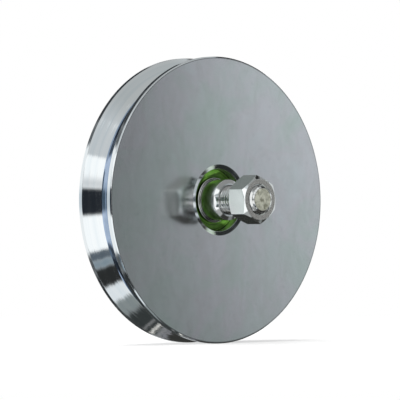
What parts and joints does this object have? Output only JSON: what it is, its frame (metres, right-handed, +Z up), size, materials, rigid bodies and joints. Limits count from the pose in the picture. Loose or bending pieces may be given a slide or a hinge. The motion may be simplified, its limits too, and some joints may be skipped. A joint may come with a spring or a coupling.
{
  "type": "sliding gate wheel",
  "caption": "Zinc-plated steel gate wheel with a V-groove rim, turning on a sealed ball bearing, with its axle bolt, nut and spacers.",
  "frame": {"origin": "the wheel's centre: on the axle, midway between the disc's two faces", "axes": "+Y along the axle from the nut side to the bolt-head side, +Z up, X across the wheel along the rail"},
  "size_m": [0.16, 0.0804, 0.16],
  "materials": {
    "wheel_zinc": "bright zinc plate over fine turning, satin mirror",
    "spacer_zinc": "bright zinc plate, turned",
    "bolt_zinc": "zinc plate, slightly dull",
    "nut_zinc": "bright zinc plate",
    "bearing_steel": "ground bearing steel",
    "ball_steel": "polished bearing steel",
    "cage_steel": "pressed sheet steel",
    "spring_steel": "black phosphate over spring steel",
    "seal_rubber": "moulded green rubber, slightly glossy"
  },
  "bodies": {
    "axle": {"axle_bolt": "bolt_zinc", "axle_nut": "nut_zinc", "spacer_front": "spacer_zinc", "spacer_rear": "spacer_zinc", "bearing_inner_ring": "bearing_steel"},
    "wheel": {"wheel_disc": "wheel_zinc", "bearing_outer_ring": "bearing_steel", "seal_front": "seal_rubber", "seal_rear": "seal_rubber", "retaining_ring": "spring_steel"},
    "cage": {"cage_front_half": "cage_steel", "cage_rear_half": "cage_steel", "cage_rivets": "cage_steel", "bearing_ball_1": "ball_steel", "bearing_ball_2": "ball_steel", "bearing_ball_3": "ball_steel", "bearing_ball_4": "ball_steel", "bearing_ball_5": "ball_steel", "bearing_ball_6": "ball_steel", "bearing_ball_7": "ball_steel", "bearing_ball_8": "ball_steel"}
  },
  "joints": [
    {"name": "wheel_spin", "type": "hinge", "parent": "axle", "child": "wheel", "pos_m": [0, 0, 0], "axis": [0, 1, 0], "continuous": true},
    {"name": "cage_spin", "type": "hinge", "parent": "axle", "child": "cage", "pos_m": [0, 0, 0], "axis": [0, 1, 0], "continuous": true}
  ],
  "couplings": [
    {"joint": "cage_spin", "follows": "wheel_spin", "ratio": 0.62006}
  ]
}
